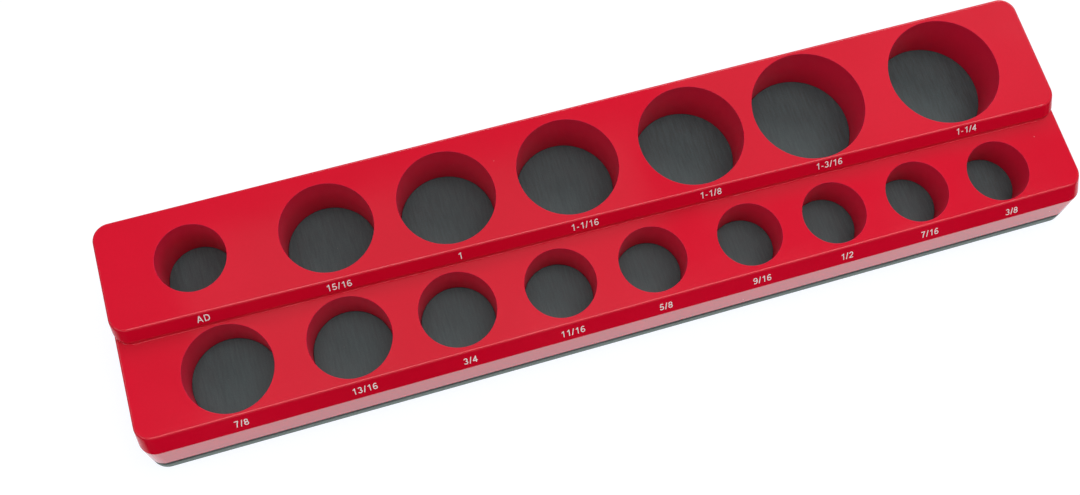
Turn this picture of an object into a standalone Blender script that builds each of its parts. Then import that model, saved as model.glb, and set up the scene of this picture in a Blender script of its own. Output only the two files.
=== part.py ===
"""Magnetic socket holder: a two-tier moulded holder for 1/2 in drive sockets.

A red shell has two rows of round pockets. A magnet disc lies at the bottom of each
pocket, on a sheet-steel keeper plate that screws to the shell from below. A magnetic
rubber sheet under the plate grips a steel bench. Metres, +Z up, +X along the rows,
the label faces look towards -Y, and the origin is at the middle of the foot.
"""

import bpy
import bmesh
from math import acos, cos, pi, radians, sin, sqrt, tan
from mathutils import Vector

mm = 0.001

# Heights above the bench
sheet_thickness = 4.2 * mm
plate_thickness = 2.0 * mm
magnet_thickness = 1.8 * mm
joint_gap = 0.3 * mm
pocket_depth_front = 16.5 * mm
step_height = 6.0 * mm

# Sockets, outer diameters
socket_od_adapter = 23.1 * mm
socket_od_15_16 = 31.4 * mm
socket_od_1 = 33.4 * mm
socket_od_1_1_16 = 35.1 * mm
socket_od_1_1_8 = 37.0 * mm
socket_od_1_3_16 = 40.4 * mm
socket_od_1_1_4 = 40.3 * mm
socket_od_7_8 = 29.7 * mm
socket_od_13_16 = 27.8 * mm
socket_od_3_4 = 25.9 * mm
socket_od_11_16 = 24.1 * mm
socket_od_5_8 = 23.2 * mm
socket_od_9_16 = 22.3 * mm
socket_od_1_2 = 22.2 * mm
socket_od_7_16 = 22.1 * mm
socket_od_3_8 = 22.0 * mm

# Pockets
socket_clearance = 1.0 * mm
pocket_draft = 0.2 * mm
magnet_clearance = 0.3 * mm

# Lands between the pockets, along the rows
end_land_left = 18.7 * mm
end_land_right = 16.1 * mm
land_adapter_15_16 = 18.0 * mm
land_15_16_1 = 8.8 * mm
land_1_1_1_16 = 8.7 * mm
land_1_1_16_1_1_8 = 8.8 * mm
land_1_1_8_1_3_16 = 5.2 * mm
land_1_3_16_1_1_4 = 11.9 * mm
land_7_8_13_16 = 11.5 * mm
land_13_16_3_4 = 9.6 * mm
land_3_4_11_16 = 10.6 * mm
land_11_16_5_8 = 8.8 * mm
land_5_8_9_16 = 12.2 * mm
land_9_16_1_2 = 8.7 * mm
land_1_2_7_16 = 8.8 * mm
land_7_16_3_8 = 8.7 * mm

# Lands across the rows, least widths
rear_land = 1.6 * mm
step_land = 0.7 * mm
riser_land = 1.0 * mm
front_land = 1.1 * mm
adapter_setback = 1.5 * mm

# How much each line falls towards the front, for its run to the right
rear_row_share = 0.0047
step_line_share = 0.0182
front_row_share = 0.0138

# Shell
corner_radius = 6.0 * mm
edge_radius = 1.2 * mm
inner_edge_radius = 0.6 * mm
label_slope = radians(52)
rear_label_drop = 3.8 * mm
front_label_drop = 5.3 * mm
wall_draft_share = 0.017
front_draft = 0.5 * mm
wall = 2.2 * mm
top_wall = 2.4 * mm
label_wall = 0.7 * mm
sleeve_wall = 1.6 * mm
hidden_corner_radius = 4.0 * mm
overrun = 2.0 * mm

# Screws and their bosses
screw_diameter = 2.9 * mm
screw_length = 12.0 * mm
screw_head_diameter = 5.4 * mm
screw_head_height = 1.2 * mm
screw_tip_length = 2.0 * mm
screw_tip_diameter = 0.8 * mm
screw_clearance = 0.3 * mm
drive_slot_length = 3.0 * mm
drive_slot_width = 0.7 * mm
drive_slot_depth = 0.6 * mm
boss_diameter = 6.6 * mm
boss_inset = 9.0 * mm
pilot_extra_depth = 1.5 * mm

# Facets
pocket_facets = 40
sleeve_facets = 32
magnet_facets = 36
screw_facets = 12
corner_facets = 6
edge_facets = 4
sharp_angle = radians(35)

# Levels, from the sizes above
plate_bottom = sheet_thickness + joint_gap
plate_top = plate_bottom + plate_thickness
foot = plate_top + joint_gap
floor_height = foot + magnet_thickness
front_top = floor_height + pocket_depth_front
rear_top = front_top + step_height

# Pockets in order from the left: name, socket diameter, land on the pocket's left
rear_row = (
    ("ad", socket_od_adapter, end_land_left),
    ("15_16", socket_od_15_16, land_adapter_15_16),
    ("1", socket_od_1, land_15_16_1),
    ("1_1_16", socket_od_1_1_16, land_1_1_1_16),
    ("1_1_8", socket_od_1_1_8, land_1_1_16_1_1_8),
    ("1_3_16", socket_od_1_3_16, land_1_1_8_1_3_16),
    ("1_1_4", socket_od_1_1_4, land_1_3_16_1_1_4),
)
front_row = (
    ("7_8", socket_od_7_8, end_land_left),
    ("13_16", socket_od_13_16, land_7_8_13_16),
    ("3_4", socket_od_3_4, land_13_16_3_4),
    ("11_16", socket_od_11_16, land_3_4_11_16),
    ("5_8", socket_od_5_8, land_11_16_5_8),
    ("9_16", socket_od_9_16, land_5_8_9_16),
    ("1_2", socket_od_1_2, land_9_16_1_2),
    ("7_16", socket_od_7_16, land_1_2_7_16),
    ("3_8", socket_od_3_8, land_7_16_3_8),
)


def row_places(row):
    """Distance from the holder's left end to each pocket's centre, with its radius."""
    places = []
    edge = 0
    for name, diameter, land in row:
        radius = (diameter + socket_clearance) / 2
        places.append((name, edge + land + radius, radius))
        edge += land + 2 * radius
    return places, edge


rear_places, rear_edge = row_places(rear_row)
front_places, front_edge = row_places(front_row)
body_length = max(rear_edge, front_edge) + end_land_right
half_length = body_length / 2


def layout():
    """Plan of the holder, measured from the rear row's line at the left end.

    Each line is a height at the left end and falls with its own share to the right.
    The lines are pushed apart just far enough for the pockets and their least lands.
    """
    rear = []
    for name, x, radius in rear_places:
        y = -rear_row_share * x
        if name == "ad":
            y += adapter_setback
        rear.append((name, x, y, radius))
    step = min(y - radius + step_line_share * x for name, x, y, radius in rear) - step_land
    label_run = rear_label_drop / tan(label_slope)
    riser = step - label_run
    reach = max(radius + (step_line_share - front_row_share) * x for name, x, radius in front_places)
    front_line = riser - riser_land - reach
    front = []
    for name, x, radius in front_places:
        front.append((name, x, front_line - front_row_share * x, radius))
    back = max(y + radius for name, x, y, radius in rear) + rear_land
    label_edge = min(y - radius for name, x, y, radius in front) - front_land
    return rear, front, step, back, label_edge


rear_plan, front_plan, step_left, back_plan, label_edge_plan = layout()

# The front wall's foot lies below the label face by its run and the draft
front_label_run = front_label_drop / tan(label_slope)
rear_label_run = rear_label_drop / tan(label_slope)
front_foot_plan = label_edge_plan - front_label_run - front_draft
back_draft = wall_draft_share * (rear_top - foot)
back_foot_plan = back_plan + back_draft
body_depth = back_foot_plan - front_foot_plan
half_depth = body_depth / 2
plan_middle = (back_foot_plan + front_foot_plan) / 2


def centred(plan):
    """Places from the left end and the rear row's line, moved to the middle of the foot."""
    return [(name, x - half_length, y - plan_middle, radius) for name, x, y, radius in plan]


rear_pockets = centred(rear_plan)
front_pockets = centred(front_plan)
label_edge = label_edge_plan - plan_middle
step_at_left = step_left - plan_middle


def step_line(x):
    """Front edge of the rear tier's top, which slants a little towards the front."""
    return step_at_left - step_line_share * (x + half_length)


def clear_scene():
    for old in list(bpy.data.objects):
        bpy.data.objects.remove(old, do_unlink=True)


def material(name, colour, roughness, metallic=0.0):
    made = bpy.data.materials.new(name)
    made.use_nodes = True
    shader = made.node_tree.nodes["Principled BSDF"]
    shader.inputs["Base Color"].default_value = (*colour, 1.0)
    shader.inputs["Roughness"].default_value = roughness
    shader.inputs["Metallic"].default_value = metallic
    return made


def add_object(name, mesh, finish=None):
    made = bpy.data.objects.new(name, mesh)
    bpy.context.scene.collection.objects.link(made)
    if finish:
        mesh.materials.clear()
        mesh.materials.append(finish)
    return made


def smooth(mesh):
    mesh.shade_smooth()
    mesh.set_sharp_from_angle(angle=sharp_angle)


def rounded_outline(corners, radii):
    """Points round a convex outline given counter-clockwise, with its corners as arcs."""
    points = []
    count = len(corners)
    for index, corner in enumerate(corners):
        here = Vector(corner)
        before = (Vector(corners[index - 1]) - here).normalized()
        after = (Vector(corners[(index + 1) % count]) - here).normalized()
        half_angle = acos(max(-1, min(1, before.dot(after)))) / 2
        radius = radii[index]
        middle = here + (before + after).normalized() * radius / sin(half_angle)
        start = here + before * radius / tan(half_angle) - middle
        turn = pi - 2 * half_angle
        for step in range(corner_facets + 1):
            angle = turn * step / corner_facets
            x = start.x * cos(angle) - start.y * sin(angle)
            y = start.x * sin(angle) + start.y * cos(angle)
            points.append((middle.x + x, middle.y + y))
    return points


def tier_outline(front_left, front_right, back, inset, corners):
    """Outline of one level of a tier, whose sides lie inset from the holder's ends."""
    side = half_length - inset
    points = (
        (-side, front_left),
        (side, front_right),
        (side, back - inset),
        (-side, back - inset),
    )
    radii = [radius - inset for radius in corners]
    return rounded_outline(points, radii)


def loft(rings):
    """Closed mesh through outlines of as many points each, given with their heights from the top."""
    shape = bmesh.new()
    loops = []
    for height, outline in rings:
        loops.append([shape.verts.new((x, y, height)) for x, y in outline])
    count = len(loops[0])
    shape.faces.new(loops[0])
    shape.faces.new(list(reversed(loops[-1])))
    for upper, lower in zip(loops, loops[1:]):
        for index in range(count):
            following = (index + 1) % count
            shape.faces.new((upper[following], upper[index], lower[index], lower[following]))
    bmesh.ops.recalc_face_normals(shape, faces=shape.faces)
    mesh = bpy.data.meshes.new("loft")
    shape.to_mesh(mesh)
    shape.free()
    return mesh


def label_profile(depth, radius):
    """How far the front stands out at a depth below the top, with the edge's fillet."""
    tangent = radius * tan(label_slope / 2)
    if depth < tangent * sin(label_slope):
        return -tangent + sqrt(max(0, radius**2 - (radius - depth) ** 2))
    return depth / tan(label_slope)


def tier(top, front_at, back, label_drop, radius, corners, lower_levels):
    """A tier from its top down: filleted edge, slanted label face, then the wall.

    front_at gives the front edge at an end of the holder, and lower_levels holds the
    heights below the label face, each with how much further out the front stands there.
    """
    rings = []

    def ring(height, run, inset):
        front_left = front_at(-half_length) - run
        front_right = front_at(half_length) - run
        rings.append((height, tier_outline(front_left, front_right, back, inset, corners)))

    for index in range(edge_facets + 1):
        angle = pi / 2 * index / edge_facets
        depth = radius * (1 - cos(angle))
        inset = radius * (1 - sin(angle))
        ring(top - depth, label_profile(depth, radius), inset)
    label_run = label_drop / tan(label_slope)
    ring(top - label_drop, label_run, 0)
    for height, further in lower_levels:
        ring(height, label_run + further, 0)
    return loft(rings)


def cylinder_mesh(shape, x, y, bottom, top, bottom_radius, top_radius, facets):
    """Add a closed round bar, or a slightly tapered one, to a bmesh."""
    rings = []
    for height, radius in ((bottom, bottom_radius), (top, top_radius)):
        ring = []
        for index in range(facets):
            angle = 2 * pi * index / facets
            ring.append(shape.verts.new((x + radius * cos(angle), y + radius * sin(angle), height)))
        rings.append(ring)
    low, high = rings
    shape.faces.new(list(reversed(low)))
    shape.faces.new(high)
    for index in range(facets):
        following = (index + 1) % facets
        shape.faces.new((low[index], low[following], high[following], high[index]))


def cylinders(name, bars):
    """One mesh of several round bars that don't touch."""
    shape = bmesh.new()
    for bar in bars:
        cylinder_mesh(shape, *bar)
    mesh = bpy.data.meshes.new(name)
    shape.to_mesh(mesh)
    shape.free()
    return mesh


def cut(target, tool_mesh, operation="DIFFERENCE"):
    """Apply a Boolean of a tool mesh to an object, and take the tool away."""
    tool = add_object("tool", tool_mesh)
    tool.hide_render = True
    tool.display_type = "WIRE"
    modifier = target.modifiers.new("cut", "BOOLEAN")
    modifier.operation = operation
    modifier.solver = "EXACT"
    modifier.object = tool
    bpy.context.view_layer.update()
    graph = bpy.context.evaluated_depsgraph_get()
    result = bpy.data.meshes.new_from_object(target.evaluated_get(graph))
    target.modifiers.remove(modifier)
    old = target.data
    target.data = result
    bpy.data.meshes.remove(old)
    bpy.data.objects.remove(tool, do_unlink=True)
    bpy.data.meshes.remove(tool_mesh)


def draft_ends(mesh):
    """Lean the end walls and the back wall in as they rise, so that the shell leaves its mould."""
    for vertex in mesh.vertices:
        rise = wall_draft_share * (vertex.co.z - foot)
        vertex.co.x -= rise * vertex.co.x / half_length
        if vertex.co.y > 0:
            vertex.co.y -= rise * vertex.co.y / half_depth


def two_tiers(name, shrink, label_inset, ceiling, bottom, radius):
    """The stepped block: the shell's outside, or shrunk by the walls, the hollow in it."""
    rear_run = rear_label_run + label_inset - shrink
    front_run = front_label_run + label_inset - shrink
    rear_corners = [corner_radius - shrink / 2] * 4
    front_corners = rear_corners[:2] + [hidden_corner_radius] * 2
    hidden_back = max(step_line(half_length), step_line(-half_length))
    hidden_back += corner_radius + hidden_corner_radius + overrun

    def rear_front(x):
        return step_line(x) + label_inset

    def front_front(x):
        return label_edge + label_inset

    rear = tier(rear_top - ceiling, rear_front, half_depth - shrink, rear_run * tan(label_slope),
                radius, rear_corners, ((bottom, 0),))
    front = tier(front_top - ceiling, front_front, hidden_back, front_run * tan(label_slope),
                 radius, front_corners, ((bottom, front_draft),))
    for mesh in (rear, front):
        for vertex in mesh.vertices:
            vertex.co.x *= (half_length - shrink) / half_length
    block = add_object(name, rear)
    cut(block, front, "UNION")
    draft_ends(block.data)
    return block


def screw_places():
    """Four screws near the corners, and four between the rows where the lands are wide."""
    end = half_length - boss_inset
    side = half_depth - boss_inset
    places = [(-end, -side), (end, -side), (-end, side), (end, side)]
    for left, right in ((0, 1), (2, 3), (4, 5), (5, 6)):
        left_edge = rear_pockets[left][1] + rear_pockets[left][3]
        right_edge = rear_pockets[right][1] - rear_pockets[right][3]
        middle = (left_edge + right_edge) / 2
        places.append((middle, step_line(middle)))
    return places


def make_body(finish):
    """The red shell: two tiers with a hollow below, pocket sleeves and screw bosses."""
    body = two_tiers("holder_body", 0, 0, 0, foot, edge_radius)
    hollow = two_tiers("hollow", wall, label_wall, top_wall, foot - overrun, inner_edge_radius)
    above = rear_top + overrun
    below = foot - 2 * overrun
    keep = []
    for name, x, y, radius in rear_pockets + front_pockets:
        outer = radius + sleeve_wall
        keep.append((x, y, below, above, outer, outer, sleeve_facets))
    for x, y in screw_places():
        boss = boss_diameter / 2
        keep.append((x, y, below, above, boss, boss, screw_facets))
    cut(hollow, cylinders("sleeves", keep))
    cut(body, hollow.data.copy())
    bpy.data.objects.remove(hollow, do_unlink=True)

    pockets = []
    for plan, top in ((rear_pockets, rear_top), (front_pockets, front_top)):
        for name, x, y, radius in plan:
            slope = pocket_draft / (top - floor_height)
            low = radius - slope * (top - below)
            high = radius + slope * overrun
            pockets.append((x, y, below, top + overrun, low, high, pocket_facets))
    cut(body, cylinders("pockets", pockets))

    pilots = []
    pilot = screw_diameter / 2 + screw_clearance
    pilot_top = plate_bottom + screw_length + pilot_extra_depth
    for x, y in screw_places():
        pilots.append((x, y, below, pilot_top, pilot, pilot, screw_facets))
    cut(body, cylinders("pilots", pilots))
    body.data.materials.clear()
    body.data.materials.append(finish)
    smooth(body.data)
    return body


def foot_outline():
    """Outline of the shell's foot, which the plate and the sheet follow."""
    foot_front = -half_depth
    return tier_outline(foot_front, foot_front, half_depth, 0, [corner_radius] * 4)


def make_plate(finish):
    """Keeper plate with a countersunk hole for each screw."""
    outline = foot_outline()
    mesh = loft(((plate_top, outline), (plate_bottom, outline)))
    plate = add_object("keeper_plate", mesh)
    shank = screw_diameter / 2 + screw_clearance
    head = screw_head_diameter / 2 + screw_clearance
    slope = (head - shank) / screw_head_height
    holes = []
    sinks = []
    for x, y in screw_places():
        holes.append((x, y, plate_bottom - overrun, plate_top + overrun, shank, shank, screw_facets))
        low = plate_bottom - joint_gap
        wide = head + slope * joint_gap
        sinks.append((x, y, low, plate_bottom + screw_head_height, wide, shank, screw_facets))
    cut(plate, cylinders("holes", holes))
    cut(plate, cylinders("sinks", sinks))
    plate.data.materials.clear()
    plate.data.materials.append(finish)
    smooth(plate.data)
    return plate


def make_sheet(finish):
    """Magnetic rubber sheet under the plate, flat on the bench."""
    outline = foot_outline()
    mesh = loft(((sheet_thickness, outline), (0, outline)))
    smooth(mesh)
    return add_object("base_magnet_sheet", mesh, finish)


def make_magnets(finish):
    """A magnet disc on the plate at the bottom of each pocket."""
    for name, x, y, radius in rear_pockets + front_pockets:
        disc = radius - pocket_draft - magnet_clearance
        bar = (0, 0, 0, magnet_thickness, disc, disc, magnet_facets)
        mesh = cylinders("magnet", [bar])
        smooth(mesh)
        magnet = add_object("pocket_magnet_" + name, mesh, finish)
        magnet.location = (x, y, foot)


def screw_mesh():
    """Countersunk screw, pointing up, with a cross recess in its head."""
    radius = screw_diameter / 2
    profile = (
        (0, screw_head_diameter / 2),
        (screw_head_height, radius),
        (screw_length - screw_tip_length, radius),
        (screw_length, screw_tip_diameter / 2),
    )
    rings = []
    for height, size in reversed(profile):
        ring = []
        for index in range(screw_facets):
            angle = 2 * pi * index / screw_facets
            ring.append((size * cos(angle), size * sin(angle)))
        rings.append((height, ring))
    return loft(rings)


def slot_mesh(length, width):
    """One slot of the cross recess, cut up into the head from below."""
    x = length / 2
    y = width / 2
    outline = ((-x, -y), (x, -y), (x, y), (-x, y))
    return loft(((drive_slot_depth, outline), (-drive_slot_depth, outline)))


def make_screws(finish):
    """Eight alike screws, which share one mesh."""
    pattern = add_object("screw_pattern", screw_mesh())
    cut(pattern, slot_mesh(drive_slot_length, drive_slot_width))
    cut(pattern, slot_mesh(drive_slot_width, drive_slot_length))
    mesh = pattern.data
    mesh.materials.clear()
    mesh.materials.append(finish)
    smooth(mesh)
    bpy.data.objects.remove(pattern, do_unlink=True)
    for index, (x, y) in enumerate(screw_places()):
        screw = add_object("plate_screw_" + str(index + 1), mesh)
        screw.location = (x, y, plate_bottom)


def main():
    clear_scene()
    red_plastic = material("red_plastic", (0.60, 0.012, 0.028), 0.22)
    magnet_grey = material("magnet_grey_green", (0.065, 0.078, 0.073), 0.55)
    sheet_grey = material("sheet_grey_green", (0.16, 0.20, 0.18), 0.6)
    black_steel = material("black_steel", (0.03, 0.025, 0.025), 0.4, 0.6)
    zinc = material("zinc_plated_steel", (0.62, 0.62, 0.60), 0.3, 1.0)
    make_body(red_plastic)
    make_plate(black_steel)
    make_sheet(sheet_grey)
    make_magnets(magnet_grey)
    make_screws(zinc)


main()
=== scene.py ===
# %% [markdown]
# # A magnetic socket holder, dressed for its picture
# The holder is a red moulded shell with two rows of round pockets. A grey-green magnet
# disc lies in each pocket, a dark steel plate closes the shell from below, and a rubber
# magnet sheet grips the bench. The imported model gives every place and size, so this
# lesson starts by loading it.

# %% Load the imported model
from math import acos, cos, pi, radians, sin, sqrt, tan

import bmesh
import bpy
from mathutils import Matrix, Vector


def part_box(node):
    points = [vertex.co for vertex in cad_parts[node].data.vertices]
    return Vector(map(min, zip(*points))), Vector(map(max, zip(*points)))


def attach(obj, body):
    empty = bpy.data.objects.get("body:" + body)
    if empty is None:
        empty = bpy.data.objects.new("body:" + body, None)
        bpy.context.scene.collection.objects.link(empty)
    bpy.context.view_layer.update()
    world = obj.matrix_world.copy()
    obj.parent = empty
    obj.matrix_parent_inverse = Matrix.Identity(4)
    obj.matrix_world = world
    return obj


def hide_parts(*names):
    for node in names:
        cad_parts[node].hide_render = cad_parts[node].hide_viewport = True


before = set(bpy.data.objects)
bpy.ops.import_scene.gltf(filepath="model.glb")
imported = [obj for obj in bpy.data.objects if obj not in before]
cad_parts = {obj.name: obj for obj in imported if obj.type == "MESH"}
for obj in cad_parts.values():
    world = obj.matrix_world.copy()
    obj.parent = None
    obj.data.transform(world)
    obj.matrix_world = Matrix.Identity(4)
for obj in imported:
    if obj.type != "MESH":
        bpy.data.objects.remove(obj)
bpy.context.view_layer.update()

mm = 0.001


def in_mm(*lengths):
    """Lengths in millimetres, rounded to be printed."""
    return [round(length / mm, 2) for length in lengths]


print("nodes in the packed model:", len(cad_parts))

# %% [markdown]
# ## Levels and places
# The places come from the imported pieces. The sheet gives the footprint, the shell, the
# plate and the discs give the levels, and each disc gives the middle and the width of
# its pocket. Only the height of the step is given here. The two rows are listed from
# the left, with the size that is printed below each pocket and how far to the right
# and how far up, in millimetres, the print landed, because pad printing never hits
# every place alike.

# %% Measure the levels and the pockets
sheet_low, sheet_high = (Vector(v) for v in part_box("base_magnet_sheet"))
plate_low, plate_high = (Vector(v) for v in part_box("keeper_plate"))
shell_low, shell_high = (Vector(v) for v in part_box("holder_body"))
half_length = sheet_high.x
half_depth = sheet_high.y
foot = shell_low.z
rear_top = shell_high.z
step_height = 6.0 * mm
front_top = rear_top - step_height

rear_sizes = (("ad", "AD", -0.4, 0.3), ("15_16", "15/16", -0.7, 0), ("1", "1", -0.85, 0),
              ("1_1_16", "1-1/16", -0.1, 0.1), ("1_1_8", "1-1/8", 0.3, 0.3),
              ("1_3_16", "1-3/16", 0.1, 0.4), ("1_1_4", "1-1/4", 0.15, 0.6))
front_sizes = (("7_8", "7/8", 0.1, 0.25), ("13_16", "13/16", 0.6, 0.25), ("3_4", "3/4", -0.3, 0),
               ("11_16", "11/16", -0.5, 0), ("5_8", "5/8", -0.25, 0), ("9_16", "9/16", -0.5, 0),
               ("1_2", "1/2", -0.2, 0), ("7_16", "7/16", -0.35, 0), ("3_8", "3/8", 0.2, -0.35))
disc_clearance = 0.3 * mm
pocket_draft = 0.2 * mm


def pocket_of(key, words, right, up, top):
    """A pocket as its disc gives it: middle, disc radius and radius at the mouth."""
    low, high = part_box("pocket_magnet_" + key)
    disc = (high[0] - low[0]) / 2
    return {"key": key, "words": words, "right": right * mm, "up": up * mm,
            "x": (low[0] + high[0]) / 2, "y": (low[1] + high[1]) / 2, "floor": high[2],
            "top": top, "disc": disc, "mouth": disc + disc_clearance + pocket_draft}


rear_pockets = [pocket_of(*size, rear_top) for size in rear_sizes]
front_pockets = [pocket_of(*size, front_top) for size in front_sizes]
pockets = rear_pockets + front_pockets
print("pockets:", len(pockets), "mouth diameters in mm:", in_mm(*[2 * p["mouth"] for p in pockets]))

# %% [markdown]
# ## The lines of the two tiers
# Each tier has a slanted label face along its front. The crest of the rear tier falls
# a little towards the right, and it keeps a narrow land in front of the nearest pocket.
# The crest of the front tier is straight and lies above the front wall's foot. A mould
# leaves no sharp edge, so each edge has a radius of its own, and the upright walls lean
# in a little as they rise, so that the part comes out of its mould.

# %% Sizes of edges and walls
corner_radius = 6.0 * mm
hidden_corner = 4.0 * mm
crest_radius = 0.9 * mm
inner_crest_radius = 0.6 * mm
label_foot_radius = 0.35 * mm
riser_fillet = 0.35 * mm
wall = 2.2 * mm
top_wall = 2.4 * mm
label_wall = 0.7 * mm
sleeve_wall = 1.6 * mm
overrun = 2.0 * mm
hair = 0.01 * mm
print("walls and corners in mm:", in_mm(wall, top_wall, label_wall, sleeve_wall, corner_radius))

# %% Lines of the label faces
label_slope = radians(52)
rear_label_drop = 3.8 * mm
front_label_drop = 5.3 * mm
front_draft = 0.5 * mm
wall_draft_share = 0.017
step_line_share = 0.0182
step_land = 0.7 * mm
rear_label_run = rear_label_drop / tan(label_slope)
front_label_run = front_label_drop / tan(label_slope)
label_edge = -half_depth + front_label_run + front_draft
step_at_left = min(p["y"] - p["mouth"] + step_line_share * (p["x"] + half_length)
                   for p in rear_pockets) - step_land


def step_line(x):
    """Crest of the rear tier, which falls a little towards the right."""
    return step_at_left - step_line_share * (x + half_length)


print("rear crest at the ends in mm:", in_mm(step_line(-half_length), step_line(half_length)),
      "front crest:", in_mm(label_edge))

# %% [markdown]
# ## Small helpers
# A mesh is made in code, becomes an object at the origin, and stays there, because the
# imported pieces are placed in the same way. A live modifier is never left on a piece:
# `settle` takes what the modifiers make and keeps it as a plain mesh.

# %% Objects and settled meshes
smooth_angle = radians(30)


def add_object(name, mesh, finish=None):
    """Show a mesh as an object at the origin, in one finish."""
    made = bpy.data.objects.new(name, mesh)
    bpy.context.scene.collection.objects.link(made)
    if finish:
        mesh.materials.clear()
        mesh.materials.append(finish)
    return made


def settle(piece):
    """Turn what the modifiers make into the object's own mesh."""
    bpy.context.view_layer.update()
    graph = bpy.context.evaluated_depsgraph_get()
    result = bpy.data.meshes.new_from_object(piece.evaluated_get(graph))
    piece.modifiers.clear()
    old = piece.data
    piece.data = result
    bpy.data.meshes.remove(old)
    result.name = piece.name
    return piece


def cut(target, tool, operation="DIFFERENCE"):
    """Exact Boolean of a tool object, which is used up."""
    modifier = target.modifiers.new("cut", "BOOLEAN")
    modifier.operation = operation
    modifier.solver = "EXACT"
    modifier.material_mode = "TRANSFER"
    modifier.object = tool
    settle(target)
    bpy.data.objects.remove(tool, do_unlink=True)
    return target


def shade(piece):
    """Smooth shading with flat faces kept flat: large faces give the normals."""
    piece.data.shade_smooth()
    piece.data.set_sharp_from_angle(angle=smooth_angle)
    weigh = piece.modifiers.new("weigh", "WEIGHTED_NORMAL")
    weigh.keep_sharp = True
    return settle(piece)


def count_of(piece):
    """Triangles of a piece, and how many of its edges are open."""
    piece.data.calc_loop_triangles()
    shape = bmesh.new()
    shape.from_mesh(piece.data)
    open_edges = sum(1 for edge in shape.edges if len(edge.link_faces) != 2)
    shape.free()
    return len(piece.data.loop_triangles), open_edges


print("helpers ready")

# %% [markdown]
# ## Node trees in a few words
# Finishes and repeated shapes are both made with nodes. `add_node` adds one node and
# fills its inputs: a socket is linked, and anything else becomes the input's value.
# `calc` writes one step of arithmetic as a node, and `plus`, `minus` and `times` are the
# three steps that are needed most. `grow` runs a finished tree on an object.

# %% Helpers for node trees
def add_node(tree, kind, inputs=None, **settings):
    """One node with its settings, and its inputs linked or filled in."""
    made = tree.nodes.new(kind)
    for key, value in settings.items():
        setattr(made, key, value)
    for key, value in (inputs or {}).items():
        socket = made.inputs[key]
        if isinstance(value, bpy.types.NodeSocket):
            tree.links.new(value, socket)
        else:
            socket.default_value = value
    return made


def calc(tree, operation, first, second=None, clamp=False):
    inputs = {0: first} if second is None else {0: first, 1: second}
    return add_node(tree, "ShaderNodeMath", inputs, operation=operation, use_clamp=clamp).outputs[0]


def plus(tree, first, second):
    return calc(tree, "ADD", first, second)


def minus(tree, first, second):
    return calc(tree, "SUBTRACT", first, second)


def times(tree, first, second):
    return calc(tree, "MULTIPLY", first, second)


print("node helpers ready")


# %% Trees that make shapes
def new_rule(name, sizes):
    """An empty Geometry Nodes tree with named inputs for its sizes."""
    tree = bpy.data.node_groups.new(name, "GeometryNodeTree")
    tree.interface.new_socket("Geometry", in_out="INPUT", socket_type="NodeSocketGeometry")
    for label, kind in sizes:
        tree.interface.new_socket(label, in_out="INPUT", socket_type="NodeSocket" + kind)
    tree.interface.new_socket("Geometry", in_out="OUTPUT", socket_type="NodeSocketGeometry")
    return tree, tree.nodes.new("NodeGroupInput"), tree.nodes.new("NodeGroupOutput")


def grow(piece, tree, sizes):
    """Run a tree on an object with these sizes, and settle what it makes."""
    modifier = piece.modifiers.new("rule", "NODES")
    modifier.node_group = tree
    for item in tree.interface.items_tree:
        if item.in_out == "INPUT" and item.name in sizes:
            modifier[item.identifier] = sizes[item.name]
    return settle(piece)


print("tree helpers ready")

# %% [markdown]
# ## The red plastic
# The shell is moulded in a strong red plastic with a gloss finish. Real gloss is never
# even: the colour drifts a little over the part, the surface has a faint ripple from
# the mould, dust leaves light specks, and handling leaves dull rubs. Each of these is
# one noise or cell pattern in Object coordinates, so it stays put when the part moves.
# The pocket walls come from the mould's cores, which are less polished, so the same
# recipe makes them duller and lets them mirror less.

# %% Patterns that the finishes share
def new_finish(name):
    """A material, its tree, its main shader and the place on the part."""
    made = bpy.data.materials.new(name)
    made.use_nodes = True
    tree = made.node_tree
    shader = tree.nodes["Principled BSDF"]
    place = add_node(tree, "ShaderNodeTexCoord").outputs["Object"]
    return made, tree, shader, place


def stretched(tree, place, scale, turn=0.0):
    """The place, turned in plan and scaled per axis."""
    mapping = add_node(tree, "ShaderNodeMapping", {"Vector": place})
    mapping.inputs["Rotation"].default_value = (0, 0, turn)
    mapping.inputs["Scale"].default_value = scale
    return mapping.outputs["Vector"]


def noise(tree, place, scale, detail=2.0, roughness=0.5):
    """Soft noise from 0 to 1, with this many cells to the metre."""
    return add_node(tree, "ShaderNodeTexNoise", {"Vector": place, "Scale": scale, "Detail": detail,
                                                 "Roughness": roughness}).outputs["Fac"]


def spread(tree, value, low, high, to_low=0.0, to_high=1.0):
    """Map a value from one range to another, held at the ends."""
    return add_node(tree, "ShaderNodeMapRange", {"Value": value, "From Min": low, "From Max": high,
                                                 "To Min": to_low, "To Max": to_high}).outputs["Result"]


print("patterns ready")


# %% Mixing, specks and dents
def blend(tree, share, first, second):
    """Mix two colours, each a socket or three numbers."""
    made = add_node(tree, "ShaderNodeMix", data_type="RGBA", blend_type="MIX")
    for index, value in ((0, share), (6, first), (7, second)):
        socket = made.inputs[index]
        if isinstance(value, bpy.types.NodeSocket):
            tree.links.new(value, socket)
        else:
            socket.default_value = value if index == 0 else (*value, 1.0)
    return made.outputs[2]


def specks(tree, place, scale, size, share):
    """Small round dots in a share of the cells of a pattern: 1 inside a dot, 0 outside."""
    cells = add_node(tree, "ShaderNodeTexVoronoi", {"Vector": place, "Scale": scale})
    dot = spread(tree, cells.outputs["Distance"], size, size * 0.5)
    pick = add_node(tree, "ShaderNodeSeparateColor", {"Color": cells.outputs["Color"]})
    chosen = calc(tree, "LESS_THAN", pick.outputs["Red"], share)
    return times(tree, dot, chosen)


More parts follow.
